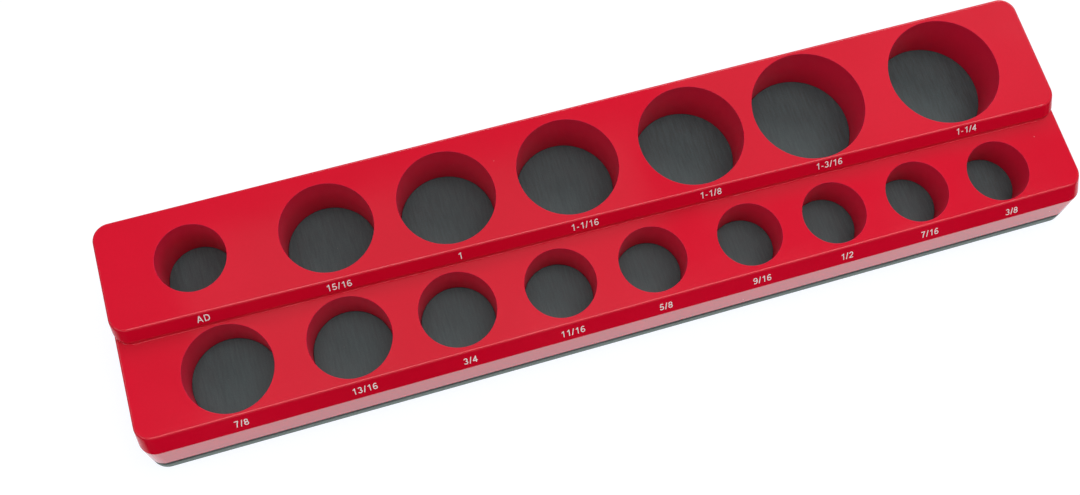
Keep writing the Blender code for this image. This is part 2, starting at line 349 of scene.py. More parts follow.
def dent(tree, shader, height, strength, distance):
    """Let a height pattern tilt the surface, as dents of this depth would."""
    bump = add_node(tree, "ShaderNodeBump", {"Height": height, "Strength": strength, "Distance": distance})
    tree.links.new(bump.outputs["Normal"], shader.inputs["Normal"])


print("mixing helpers ready")


# %% Red plastic, glossy outside and satin in the pockets
def red_plastic(name, deep, clear, dull, gloss, dust, mirror):
    """Red plastic between two reds and two roughnesses, with a share of dust and its IOR."""
    made, tree, shader, place = new_finish(name)
    # Colour: a slow drift, a fine grain, and light dust
    cloud = noise(tree, place, 14, 3)
    grain = noise(tree, place, 1400, 2)
    colour = blend(tree, spread(tree, cloud, 0.35, 0.65), deep, clear)
    colour = blend(tree, spread(tree, grain, 0.3, 0.7, 0.0, 0.10), colour, grain_red)
    rubs = noise(tree, stretched(tree, place, (60, 900, 60), radians(24)), 1.0, 4, 0.6)
    rub = spread(tree, rubs, 0.62, 0.78)
    fleck = specks(tree, place, 150, 0.035, dust)
    colour = blend(tree, times(tree, fleck, 0.45), colour, dust_pink)
    tree.links.new(colour, shader.inputs["Base Color"])
    # Roughness: uneven gloss, slanting rubs, and dull dust
    rough = spread(tree, noise(tree, place, 45, 4), 0.3, 0.7, gloss, dull)
    rough = plus(tree, rough, times(tree, rub, 0.06))
    rough = plus(tree, rough, times(tree, fleck, 0.3))
    tree.links.new(rough, shader.inputs["Roughness"])
    shader.inputs["IOR"].default_value = mirror
    # Height: the mould's ripple, the grain, and dust that stands proud
    ripple = noise(tree, place, 260, 2)
    height = plus(tree, times(tree, ripple, 0.35), times(tree, grain, 0.05))
    height = plus(tree, height, times(tree, fleck, 0.5))
    dent(tree, shader, height, 0.25, 0.04 * mm)
    return made


grain_red = (0.54, 0.001, 0.012)
dust_pink = (0.86, 0.42, 0.42)
shell_red = red_plastic("shell_red", deep=(0.68, 0.0012, 0.021), clear=(0.74, 0.0018, 0.025),
                        dull=0.12, gloss=0.07, dust=0.16, mirror=1.58)
pocket_red = red_plastic("pocket_red", deep=(0.70, 0.005, 0.046), clear=(0.75, 0.007, 0.056),
                         dull=0.44, gloss=0.34, dust=0.05, mirror=1.35)
print("red finishes:", shell_red.name, pocket_red.name)

# %% [markdown]
# ## The magnet material
# Magnetic rubber is a dark grey-green filler held in rubber. It is rolled into sheets,
# which leaves faint streaks along the rolling direction, and it takes a dull sheen.
# The discs show their streaks from above, and the sheet shows its cut edge.


# %% Grey-green magnet rubber
def magnet_rubber(name, dark, light, scale, turn, dull, gloss):
    """Rubber between two greys, streaked along one direction of a scaled and turned place."""
    made, tree, shader, place = new_finish(name)
    streak = noise(tree, stretched(tree, place, scale, turn), 1.0, 5, 0.62)
    fine = noise(tree, place, 2200, 2)
    cloud = noise(tree, place, 38, 3)
    colour = blend(tree, spread(tree, streak, 0.32, 0.68), dark, light)
    colour = blend(tree, spread(tree, fine, 0.35, 0.65, 0.0, 0.30), colour, filler_dark)
    colour = blend(tree, spread(tree, cloud, 0.35, 0.7, 0.0, 0.3), colour, haze_grey)
    fleck = specks(tree, place, 320, 0.05, 0.10)
    colour = blend(tree, times(tree, fleck, 0.5), colour, fleck_grey)
    tree.links.new(colour, shader.inputs["Base Color"])
    tree.links.new(spread(tree, streak, 0.3, 0.7, gloss, dull), shader.inputs["Roughness"])
    shader.inputs["IOR"].default_value = 1.5
    height = plus(tree, times(tree, streak, 0.7), times(tree, fine, 0.3))
    dent(tree, shader, height, 0.35, 0.08 * mm)
    return made


filler_dark = (0.018, 0.028, 0.029)
haze_grey = (0.055, 0.080, 0.081)
fleck_grey = (0.30, 0.31, 0.30)
disc_rubber = magnet_rubber("disc_rubber", dark=(0.033, 0.061, 0.063), light=(0.067, 0.118, 0.121),
                            scale=(1500, 170, 60), turn=radians(15), dull=0.60, gloss=0.42)
sheet_rubber = magnet_rubber("sheet_rubber", dark=(0.125, 0.180, 0.152), light=(0.220, 0.290, 0.250),
                             scale=(50, 50, 2600), turn=0.0, dull=0.62, gloss=0.48)
print("rubber finishes:", disc_rubber.name, sheet_rubber.name)

# %% [markdown]
# ## Steel, zinc and ink
# The keeper plate is dark steel with a thin oxide coat that is rubbed here and there.
# The screws are zinc plated, with a soft crystal pattern. The size numbers are printed
# in white ink, which lies a hair above the plastic and lets a little red through.


# %% Steel plate, zinc and white ink
def dark_steel(name):
    """Oxide coat that changes slowly, scratched along the rolled faces."""
    made, tree, shader, place = new_finish(name)
    cloud = noise(tree, place, 60, 4)
    scratch = noise(tree, stretched(tree, place, (90, 90, 2400)), 1.0, 4, 0.6)
    colour = blend(tree, spread(tree, cloud, 0.3, 0.7), (0.012, 0.009, 0.010), (0.026, 0.020, 0.021))
    colour = blend(tree, spread(tree, scratch, 0.6, 0.8, 0.0, 0.5), colour, (0.10, 0.09, 0.09))
    tree.links.new(colour, shader.inputs["Base Color"])
    tree.links.new(spread(tree, cloud, 0.3, 0.7, 0.55, 0.7), shader.inputs["Roughness"])
    shader.inputs["Metallic"].default_value = 0.3
    shader.inputs["IOR"].default_value = 1.4
    dent(tree, shader, scratch, 0.3, 0.05 * mm)
    return made


def zinc_plate(name):
    """Bright zinc whose crystals differ in tone and in gloss."""
    made, tree, shader, place = new_finish(name)
    cells = add_node(tree, "ShaderNodeTexVoronoi", {"Vector": place, "Scale": 900})
    tone = add_node(tree, "ShaderNodeSeparateColor", {"Color": cells.outputs["Color"]}).outputs["Red"]
    colour = blend(tree, spread(tree, tone, 0, 1), (0.52, 0.53, 0.54), (0.70, 0.70, 0.68))
    tree.links.new(colour, shader.inputs["Base Color"])
    tree.links.new(spread(tree, tone, 0, 1, 0.26, 0.42), shader.inputs["Roughness"])
    shader.inputs["Metallic"].default_value = 1.0
    dent(tree, shader, tone, 0.15, 0.03 * mm)
    return made


def white_ink(name):
    """White that thins here and there and lets the red show."""
    made, tree, shader, place = new_finish(name)
    cover = noise(tree, place, 1800, 3)
    thin = spread(tree, cover, 0.35, 0.8, 0.0, 0.12)
    colour = blend(tree, thin, (0.97, 0.95, 0.95), (0.90, 0.62, 0.62))
    tree.links.new(colour, shader.inputs["Base Color"])
    tree.links.new(spread(tree, cover, 0.3, 0.7, 0.38, 0.5), shader.inputs["Roughness"])
    dent(tree, shader, cover, 0.2, 0.02 * mm)
    return made


plate_steel = dark_steel("plate_steel")
screw_zinc = zinc_plate("screw_zinc")
number_ink = white_ink("number_ink")
print("finishes made:", len(bpy.data.materials))

# %% [markdown]
# ## One rule for everything round
# Pockets, sleeves, bosses, screw holes and magnet discs are all round bars that differ
# in their sizes only. So one Geometry Nodes tree makes them all. Each bar is a point
# that carries its two radii, its two heights and the size of its rounded edge, and the
# tree puts a unit cylinder on each point and moves the cylinder's rings into place.
# A positive edge widens a pocket's mouth, and a negative one rounds a disc.

# %% The tree for round bars
bar_sizes = (("Facets", "Int"), ("Rings", "Int"), ("Rise", "Float"), ("Inset", "Float"),
             ("Finish", "Material"))
bar_rule, given, made = new_rule("round_bars", bar_sizes)


def carried(tree, name, kind="FLOAT"):
    """The value that each point carries under this name."""
    node = add_node(tree, "GeometryNodeInputNamedAttribute", {"Name": name}, data_type=kind)
    return [socket for socket in node.outputs if socket.name == "Attribute" and socket.enabled][0]


def bar_heights(tree, sizes):
    """Place of each point of a unit cylinder, from the number of its ring in the bar."""
    place = add_node(tree, "ShaderNodeSeparateXYZ", {0: carried(tree, "turned", "FLOAT_VECTOR")})
    number = times(tree, plus(tree, place.outputs["Z"], 0.5), sizes["Rings"])
    steps = calc(tree, "MAXIMUM", minus(tree, sizes["Rings"], 2.0), 1.0)
    turn = calc(tree, "DIVIDE", minus(tree, number, 1.0), steps, clamp=True)
    turn = times(tree, turn, pi / 2)
    edge = carried(tree, "edge")
    bottom, top = carried(tree, "bottom"), carried(tree, "top")
    short = minus(tree, 1.0, calc(tree, "SINE", turn))
    rounded = minus(tree, top, times(tree, calc(tree, "ABSOLUTE", edge), short))
    last = calc(tree, "GREATER_THAN", number, minus(tree, sizes["Rings"], 0.5))
    first = calc(tree, "LESS_THAN", number, 0.5)
    above = plus(tree, top, sizes["Rise"])
    height = add_node(tree, "ShaderNodeMix", {0: last, 2: rounded, 3: above}).outputs[0]
    height = add_node(tree, "ShaderNodeMix", {0: first, 2: height, 3: bottom}).outputs[0]
    share = calc(tree, "DIVIDE", minus(tree, height, bottom), minus(tree, top, bottom))
    low, high = carried(tree, "low"), carried(tree, "high")
    radius = plus(tree, low, times(tree, minus(tree, high, low), share))
    wide = minus(tree, 1.0, calc(tree, "COSINE", turn))
    radius = plus(tree, radius, times(tree, edge, wide))
    radius = minus(tree, radius, times(tree, sizes["Inset"], last))
    x = times(tree, place.outputs["X"], radius)
    y = times(tree, place.outputs["Y"], radius)
    return add_node(tree, "ShaderNodeCombineXYZ", {0: x, 1: y, 2: height}).outputs[0]


print("bar rings ready")

# %% Put the bars on their points
unit = add_node(bar_rule, "GeometryNodeMeshCylinder", {"Vertices": given.outputs["Facets"],
                "Side Segments": given.outputs["Rings"], "Radius": 1.0, "Depth": 1.0})
marked = add_node(bar_rule, "GeometryNodeStoreNamedAttribute",
                  {"Geometry": unit.outputs["Mesh"], "Name": "turned"}, data_type="FLOAT_VECTOR")
bar_rule.links.new(add_node(bar_rule, "GeometryNodeInputPosition").outputs[0], marked.inputs["Value"])
put = add_node(bar_rule, "GeometryNodeInstanceOnPoints",
               {"Points": given.outputs["Geometry"], "Instance": marked.outputs[0]})
real = add_node(bar_rule, "GeometryNodeRealizeInstances", {0: put.outputs[0]})
here = add_node(bar_rule, "GeometryNodeInputPosition").outputs[0]
middle = add_node(bar_rule, "ShaderNodeVectorMath",
                  {0: here, 1: carried(bar_rule, "turned", "FLOAT_VECTOR")}, operation="SUBTRACT")
there = add_node(bar_rule, "ShaderNodeVectorMath",
                 {0: middle.outputs[0], 1: bar_heights(bar_rule, given.outputs)}, operation="ADD")
moved = add_node(bar_rule, "GeometryNodeSetPosition",
                 {"Geometry": real.outputs[0], "Position": there.outputs[0]})
painted = add_node(bar_rule, "GeometryNodeSetMaterial",
                   {"Geometry": moved.outputs[0], "Material": given.outputs["Finish"]})
bar_rule.links.new(painted.outputs[0], made.inputs[0])
print("nodes in the tree for round bars:", len(bar_rule.nodes))

# %% Round bars from a list of sizes
bar_columns = ("bottom", "top", "low", "high", "edge")


def round_bars(name, rows, finish, facets=128, rings=1, rise=0.0, inset=0.0):
    """Bars given as x, y, bottom, top, low radius, high radius and edge."""
    mesh = bpy.data.meshes.new(name)
    mesh.from_pydata([(row[0], row[1], 0) for row in rows], [], [])
    for index, label in enumerate(bar_columns):
        values = mesh.attributes.new(label, "FLOAT", "POINT")
        values.data.foreach_set("value", [row[index + 2] for row in rows])
    piece = grow(add_object(name, mesh), bar_rule,
                 {"Facets": facets, "Rings": rings, "Rise": rise, "Inset": inset, "Finish": finish})
    for label in (*bar_columns, "turned"):
        held = piece.data.attributes.get(label)
        if held:
            piece.data.attributes.remove(held)
    return piece


# %% [markdown]
# ## The stepped block
# The shell's outside is two lofted blocks. Each starts with a flat top, turns over a
# small round crest, runs down the slanted label face, turns again over a tighter edge
# and ends in the wall. The rear block flares a little at its foot, which leaves the
# small fillet that a mould has where the step meets the front tier. The loft is built
# ring by ring, so every edge is rounded exactly where a mould would round it, and the
# two blocks are joined with a Boolean.

# %% Outlines
corner_facets = 18


def rounded_outline(corners, radii):
    """Points round a convex outline given counter-clockwise, with its corners as arcs."""
    points = []
    count = len(corners)
    for index, corner in enumerate(corners):
        here = Vector(corner)
        before = (Vector(corners[index - 1]) - here).normalized()
        after = (Vector(corners[(index + 1) % count]) - here).normalized()
        half_angle = acos(max(-1, min(1, before.dot(after)))) / 2
        radius = radii[index]
        middle = here + (before + after).normalized() * radius / sin(half_angle)
        start = here + before * radius / tan(half_angle) - middle
        turn = pi - 2 * half_angle
        for step in range(corner_facets + 1):
            angle = turn * step / corner_facets
            x = start.x * cos(angle) - start.y * sin(angle)
            y = start.x * sin(angle) + start.y * cos(angle)
            points.append((middle.x + x, middle.y + y))
    return points


def tier_outline(front_left, front_right, back, inset, corners):
    """Outline of a tier whose front runs from one depth to another, drawn in by an inset."""
    side = half_length - inset
    points = ((-side, front_left), (side, front_right), (side, back - inset), (-side, back - inset))
    return rounded_outline(points, [radius - inset for radius in corners])


plain_corners = [corner_radius] * 4
print("outline points:", len(tier_outline(-half_depth, -half_depth, half_depth, 0, plain_corners)))


# %% Lofts through outlines
def loft(name, rings, finish):
    """Closed mesh through outlines of as many points each, from the top down."""
    shape = bmesh.new()
    loops = [[shape.verts.new((x, y, height)) for x, y in outline] for height, outline in rings]
    count = len(loops[0])
    shape.faces.new(loops[0])
    shape.faces.new(list(reversed(loops[-1])))
    for upper, lower in zip(loops, loops[1:]):
        for index in range(count):
            following = (index + 1) % count
            shape.faces.new((upper[following], upper[index], lower[index], lower[following]))
    bmesh.ops.recalc_face_normals(shape, faces=shape.faces)
    mesh = bpy.data.meshes.new(name)
    shape.to_mesh(mesh)
    shape.free()
    return add_object(name, mesh, finish)


print("lofts ready")

# %% One tier, from its top down
crest_facets = 12
label_foot_facets = 6


def tier(name, top, front_at, back, drop, crest, label_foot, corners, lower_levels):
    """A tier with a round crest, a label face, a rounded foot of that face, and a wall."""
    front_left, front_right = front_at(-half_length), front_at(half_length)
    rings = []

    def ring(height, run, inset):
        outline = tier_outline(front_left - run, front_right - run, back, inset, corners)
        rings.append((height, outline))

    tangent = crest * tan(label_slope / 2)
    for index in range(crest_facets + 1):
        angle = pi / 2 * index / crest_facets
        depth = crest * (1 - cos(angle))
        if depth < tangent * sin(label_slope):
            run = -tangent + sqrt(max(0, crest**2 - (crest - depth) ** 2))
        else:
            run = depth / tan(label_slope)
        ring(top - depth, run, crest * (1 - sin(angle)))
    label_run = drop / tan(label_slope)
    bend = pi / 2 - label_slope
    if label_foot:
        for index in range(label_foot_facets + 1):
            angle = bend * (1 - index / label_foot_facets)
            depth = drop + label_foot * (tan(bend / 2) - sin(angle))
            ring(top - depth, label_run - label_foot * (1 - cos(angle)), 0)
    else:
        ring(top - drop, label_run, 0)
    for height, further in lower_levels:
        ring(height, label_run + further, 0)
    return loft(name, rings, shell_red)


print("one tier has", crest_facets, "facets round its crest and", label_foot_facets, "at the label's foot")

# %% Draft and fillet
fillet_facets = 8


def lean(mesh):
    """Lean the end walls and the back wall in as they rise, as the mould's draft does."""
    for vertex in mesh.vertices:
        rise = wall_draft_share * (vertex.co.z - foot)
        vertex.co.x -= rise * vertex.co.x / half_length
        if vertex.co.y > 0:
            vertex.co.y -= rise * vertex.co.y / half_depth


def riser_flare():
    """Heights at which the riser curves out to the front tier's top, and how far."""
    turns = [pi / 2 * index / fillet_facets for index in range(fillet_facets)]
    levels = [(front_top + riser_fillet * (1 - sin(turn)), riser_fillet * (1 - cos(turn)))
              for turn in turns]
    return levels + [(front_top - hair, riser_fillet)]


print("fillet at the riser's foot in mm:", in_mm(riser_fillet))


# %% The whole stepped block
def two_tiers(name, shrink, label_inset, ceiling, bottom, crest, label_foot):
    """The stepped block: the shell's outside, or shrunk by the walls, the hollow in it."""
    slope = tan(label_slope)
    rear_drop = (rear_label_run + label_inset - shrink) * slope
    front_drop = (front_label_run + label_inset - shrink) * slope
    rear_corners = [corner_radius - shrink / 2] * 4
    front_corners = rear_corners[:2] + [hidden_corner] * 2
    hidden_back = step_line(-half_length) + corner_radius + hidden_corner + overrun
    flare = riser_flare() if label_foot else []
    reach = riser_fillet if label_foot else 0
    block = tier(name, rear_top - ceiling, lambda x: step_line(x) + label_inset, half_depth - shrink,
                 rear_drop, crest, label_foot, rear_corners, [*flare, (bottom, reach)])
    front = tier("front_tier", front_top - ceiling, lambda x: label_edge + label_inset, hidden_back,
                 front_drop, crest, label_foot, front_corners, ((bottom, front_draft),))
    for part in (block, front):
        for vertex in part.data.vertices:
            vertex.co.x *= (half_length - shrink) / half_length
    cut(block, front, "UNION")
    lean(block.data)
    return block


shell = two_tiers("holder_shell", 0, 0, 0, foot, crest_radius, label_foot_radius)
print("stepped block, triangles and open edges:", count_of(shell))

# %% [markdown]
# ## Hollow, sleeves and pockets
# The real shell is not solid. Below its top it is hollow, and a sleeve of even wall
# stands round each pocket, with small bosses for the screws. The hollow is the same
# block made smaller by the walls, less the sleeves and bosses, and it is cut from the
# outside. Then the pockets are cut with a slight draft and a small round at the mouth.
# Each cutter brings its own finish, so the pocket walls come out in the duller red.

# %% Where the screws sit
boss_radius = 3.3 * mm
screw_radius = 1.45 * mm
screw_clearance = 0.3 * mm
screw_length = 12.0 * mm
pilot_extra = 1.5 * mm
screw_count = 8
screw_boxes = [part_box("plate_screw_" + str(index + 1)) for index in range(screw_count)]
screw_places = [((low[0] + high[0]) / 2, (low[1] + high[1]) / 2) for low, high in screw_boxes]
print("screws at, in mm:", [in_mm(*place) for place in screw_places])

# %% Hollow the shell
above = rear_top + overrun
below = foot - 2 * overrun
hollow = two_tiers("hollow", wall, label_wall, top_wall, foot - overrun, inner_crest_radius, 0)
kept = []
for p in pockets:
    sleeve = p["mouth"] + sleeve_wall
    kept.append((p["x"], p["y"], below, above, sleeve, sleeve, 0))
kept += [(x, y, below, above, boss_radius, boss_radius, 0) for x, y in screw_places]
cut(hollow, round_bars("sleeves", kept, shell_red, facets=64))
cut(shell, hollow)
print("hollow shell, triangles and open edges:", count_of(shell))

# %% Cut the pockets and the screw holes
mouth_round = 0.22 * mm
mouth_rings = 8
cutters = []
for p in pockets:
    slope = pocket_draft / (p["top"] - p["floor"])
    low = p["mouth"] - slope * (p["top"] - below)
    cutters.append((p["x"], p["y"], below, p["top"] + hair, low, p["mouth"], mouth_round))
cut(shell, round_bars("pocket_cutters", cutters, pocket_red, rings=mouth_rings, rise=overrun))
pilot = screw_radius + screw_clearance
pilot_top = plate_low.z + screw_length + pilot_extra
cut(shell, round_bars("pilots", [(x, y, below, pilot_top, pilot, pilot, 0) for x, y in screw_places],
                      shell_red, facets=32))
shade(shell)
print("shell, triangles and open edges:", count_of(shell), [m.name for m in shell.data.materials])

# %% [markdown]
# ## Magnet discs
# Each disc is stamped from magnetic rubber, so its upper edge is slightly rounded by the
# die. The same tree makes it, with a negative edge and a last ring that lies a little
# further in, which keeps the flat face flat in the shading.

# %% Sixteen magnet discs
disc_edge = 0.08 * mm
disc_fill = 0.18 * mm
flat_inset = 0.4 * mm
discs = []
for p in pockets:
    disc_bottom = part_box("pocket_magnet_" + p["key"])[0][2]
    width = p["disc"] + disc_fill
    row = (p["x"], p["y"], disc_bottom, p["floor"], width, width, -disc_edge)
    disc = round_bars("magnet_disc_" + p["key"], [row], disc_rubber, facets=96, rings=6, inset=flat_inset)
    discs.append(shade(disc))
print("discs:", len(discs), "triangles and open edges of one:", count_of(discs[0]))

# %% [markdown]
# ## Plate and sheet
# The keeper plate is punched from thin steel and countersunk for the screws. The sheet
# is cut from magnetic rubber to the same outline. Both are lofts whose upper and lower
# edges are broken by a small round, because a sharp edge would catch no light.

# %% Flat pieces with broken edges
slab_facets = 4


def slab(name, bottom, top, edge, finish):
    """Flat piece with the foot's outline and rounded upper and lower edges."""
    rings = []
    for index in range(slab_facets + 1):
        angle = pi / 2 * index / slab_facets
        rings.append((top - edge * (1 - cos(angle)), edge * (1 - sin(angle))))
    for index in range(slab_facets + 1):
        angle = pi / 2 * index / slab_facets
        rings.append((bottom + edge * (1 - sin(angle)), edge * (1 - cos(angle))))
    outlines = []
    for height, inset in rings:
        side, depth = half_length - inset, half_depth - inset
        corners = ((-side, -depth), (side, -depth), (side, depth), (-side, depth))
        outlines.append((height, rounded_outline(corners, [corner_radius - inset] * 4)))
    return loft(name, outlines, finish)


print("flat pieces ready")

# %% Keeper plate and base sheet
plate_edge = 0.15 * mm
sheet_edge = 0.25 * mm
head_radius = 2.7 * mm + screw_clearance
head_height = 1.2 * mm
sink_start = 0.3 * mm
shank = screw_radius + screw_clearance
sink_slope = (head_radius - shank) / head_height
sink_low = plate_low.z - sink_start
sink_radius = head_radius + sink_slope * sink_start
holes = [(x, y, sink_low - overrun, plate_high.z + overrun, shank, shank, 0) for x, y in screw_places]
sinks = [(x, y, sink_low, plate_low.z + head_height, sink_radius, shank, 0) for x, y in screw_places]
plate = slab("steel_plate", plate_low.z, plate_high.z, plate_edge, plate_steel)
cut(plate, round_bars("holes", holes, plate_steel, facets=32))
cut(plate, round_bars("sinks", sinks, plate_steel, facets=32))
shade(plate)
sheet = shade(slab("rubber_sheet", sheet_low.z, sheet_high.z, sheet_edge, sheet_rubber))
print("plate and sheet, triangles and open edges:", count_of(plate), count_of(sheet))

# %% [markdown]
# ## Printed size numbers
# The sizes are pad printed in a plain upright letter of even stroke. Blender's own font
# has another figure one, so each sign is drawn here as a few strokes: straight lines and
# parts of ellipses. Sizes are in shares of the height of a figure, so one number scales
# them all.

# %% Strokes of each sign
arc_step = radians(9)


def arc(cx, cy, rx, ry, start, end):
    """Part of an ellipse as points, from one angle to another in degrees."""
    turn = radians(end - start)
    count = max(2, round(abs(turn) / arc_step))
    angles = [radians(start) + turn * index / count for index in range(count + 1)]
    return [(cx + rx * cos(angle), cy + ry * sin(angle)) for angle in angles]


def bowl(cx, cy, rx, ry):
    """A whole ellipse, marked as closed."""
    return arc(cx, cy, rx, ry, 0, 360)[:-1] + ["closed"]


signs = {
    "1": (0.70, [[(0.40, 0.0), (0.40, 1.0)], [(0.14, 0.73), (0.43, 0.95)]]),
    "2": (0.72, [arc(0.31, 0.69, 0.235, 0.24, 168, -38) + [(0.30, 0.33), (0.10, 0.10)],
                 [(0.03, 0.07), (0.58, 0.07)]]),
    "3": (0.72, [arc(0.29, 0.715, 0.205, 0.215, 160, -90), arc(0.29, 0.285, 0.24, 0.215, 90, -160)]),
    "4": (0.72, [[(0.44, 0.0), (0.44, 1.0)], [(0.02, 0.28), (0.61, 0.28)], [(0.44, 0.94), (0.06, 0.30)]]),
    "5": (0.72, [[(0.13, 0.93), (0.55, 0.93)], [(0.18, 0.95), (0.11, 0.46)],
                 arc(0.30, 0.315, 0.245, 0.245, 140, -158)]),
    "6": (0.72, [bowl(0.31, 0.30, 0.24, 0.23), arc(0.345, 0.47, 0.275, 0.46, 190, 52)]),
    "7": (0.72, [[(0.04, 0.93), (0.58, 0.93)], [(0.54, 0.93), (0.36, 0.55), (0.25, 0.0)]]),
    "8": (0.72, [bowl(0.31, 0.72, 0.20, 0.21), bowl(0.31, 0.285, 0.24, 0.215)]),
    "9": (0.72, [bowl(0.31, 0.70, 0.24, 0.23), arc(0.275, 0.53, 0.275, 0.46, 10, -128)]),
    "/": (0.38, [[(0.02, -0.01), (0.27, 1.01)]]),
    "-": (0.44, [[(0.04, 0.36), (0.33, 0.36)]]),
    "A": (0.88, [[(0.05, 0.0), (0.37, 1.0)], [(0.69, 0.0), (0.37, 1.0)], [(0.15, 0.30), (0.59, 0.30)]]),
    "D": (0.86, [[(0.10, 0.0), (0.10, 1.0)], [(0.06, 0.93), (0.36, 0.93)], [(0.06, 0.07), (0.36, 0.07)],
                 arc(0.36, 0.5, 0.31, 0.43, 90, -90)]),
}
print("signs drawn:", "".join(signs))

# %% [markdown]
# A tree turns the lines into ink. It makes each stroke a curve, sweeps a flat rectangle
# along it, and joins what overlaps, so that a sign is one closed body of ink. The row of
# signs is drawn flat first, and then laid on the slanted face under its pocket.

# %% The tree that inks a stroke
ink_sizes = (("Stroke", "Float"), ("Ink", "Float"), ("Finish", "Material"))
ink_rule, given, made = new_rule("inked_strokes", ink_sizes)
line = add_node(ink_rule, "GeometryNodeMeshToCurve", {"Mesh": given.outputs["Geometry"]})
level = add_node(ink_rule, "GeometryNodeSetCurveNormal", {"Curve": line.outputs[0]}, mode="Z_UP")
nib = add_node(ink_rule, "GeometryNodeCurvePrimitiveQuadrilateral",
               {"Width": given.outputs["Stroke"], "Height": given.outputs["Ink"]})
swept = add_node(ink_rule, "GeometryNodeCurveToMesh",
                 {"Curve": level.outputs[0], "Profile Curve": nib.outputs[0], "Fill Caps": True})
joined = add_node(ink_rule, "GeometryNodeMeshBoolean", {"Self Intersection": True}, solver="EXACT",
                  operation="UNION")
ink_rule.links.new(swept.outputs[0], [s for s in joined.inputs if s.is_multi_input][0])
real = add_node(ink_rule, "GeometryNodeRealizeInstances", {0: joined.outputs[0]})
painted = add_node(ink_rule, "GeometryNodeSetMaterial",
                   {"Geometry": real.outputs[0], "Material": given.outputs["Finish"]})
ink_rule.links.new(painted.outputs[0], made.inputs[0])
print("nodes in the tree for ink:", len(ink_rule.nodes))

# %% A row of signs
figure_height = 2.6 * mm
gap_share = 0.06


def row_of_signs(words):
    """Vertices and edges of a row of signs, centred, in metres."""
    verts, edges, x = [], [], 0.0
    for sign in words:
        advance, strokes = signs[sign]
        for stroke in strokes:
            closed = stroke[-1] == "closed"
            points = stroke[:-1] if closed else stroke
            first = len(verts)
            verts += [((x + px) * figure_height, py * figure_height, 0) for px, py in points]
            edges += [(first + i, first + i + 1) for i in range(len(points) - 1)]
            if closed:
                edges.append((len(verts) - 1, first))
        x += advance + gap_share
    middle = (min(v[0] for v in verts) + max(v[0] for v in verts)) / 2
    return [(vx - middle, vy - figure_height / 2, 0) for vx, vy, _ in verts], edges


print("points in the longest number:", max(len(row_of_signs(p["words"])[0]) for p in pockets))

# %% Print the numbers
stroke_share = 0.125
ink_thickness = 0.05 * mm
ink_proud = 0.035 * mm
rear_print_drop = 2.8 * mm
front_print_drop = 3.7 * mm


def print_number(p, crest_y, share, down):
    """Ink for one pocket, laid on the slanted face a given way down from its crest."""
    verts, edges = row_of_signs(p["words"])
    mesh = bpy.data.meshes.new("number")
    mesh.from_pydata(verts, edges, [])
    number = grow(add_object("size_number_" + p["key"], mesh), ink_rule,
                  {"Stroke": stroke_share * figure_height, "Ink": ink_thickness, "Finish": number_ink})
    right = Vector((1, -share, 0)).normalized()
    up = Vector((0, cos(label_slope), sin(label_slope)))
    out = right.cross(up).normalized()
    middle = Vector((p["x"], crest_y, p["top"])) + right * p["right"] - up * (down - p["up"])
    middle += out * (ink_proud - ink_thickness / 2)
    for vertex in number.data.vertices:
        u, v, w = vertex.co
        vertex.co = middle + right * u + up * v + out * w
    number.data.update()
    return number


numbers = [print_number(p, step_line(p["x"]), step_line_share, rear_print_drop) for p in rear_pockets]
numbers += [print_number(p, label_edge, 0, front_print_drop) for p in front_pockets]
print("numbers:", len(numbers), "triangles and open edges of one:", count_of(numbers[1]))

# %% [markdown]
# ## Who stands for what
# Every new piece rides on the one body of this object, and each imported piece that a new
# piece stands for is hidden. The imported screws have the right shape already, so they
# keep their meshes and get the zinc finish.

# %% Join the pieces to the imported model
stand_ins = [(shell, "holder_body", "red_plastic"), (plate, "keeper_plate", "black_steel"),
             (sheet, "base_magnet_sheet", "sheet_grey_green")]
stand_ins += [(disc, "pocket_magnet_" + p["key"], "magnet_grey_green") for p, disc in zip(pockets, discs)]
for piece, node_name, slot in stand_ins:
    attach(piece, "root")
    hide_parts(node_name)
for number in numbers:
    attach(number, "root")
for name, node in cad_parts.items():
    if name.startswith("plate_screw_"):
        for held in node.material_slots:
            held.material = screw_zinc

# %% [markdown]
# ## Floor
# The holder stands on plain white. The camera, mirrors and glass see a floor that is
# partly lit and partly shining, so it stays white and still takes a soft shadow. All
# other rays see a plain white floor, which throws light back on the walls. In a mirror
# the floor's light fades away from the holder: the low walls take its pale glow, and
# the label faces mirror the dark further off, as they would in a studio on a white table.

# %% Finish of the floor
white_near, white_far = 25 * mm, 90 * mm
far_share = 0.02
lit_share = 0.20
shining_share = 0.90
floor_paint = (0.9, 0.9, 0.9, 1)
floor_shine = (0.96, 0.98, 1.04, 1)


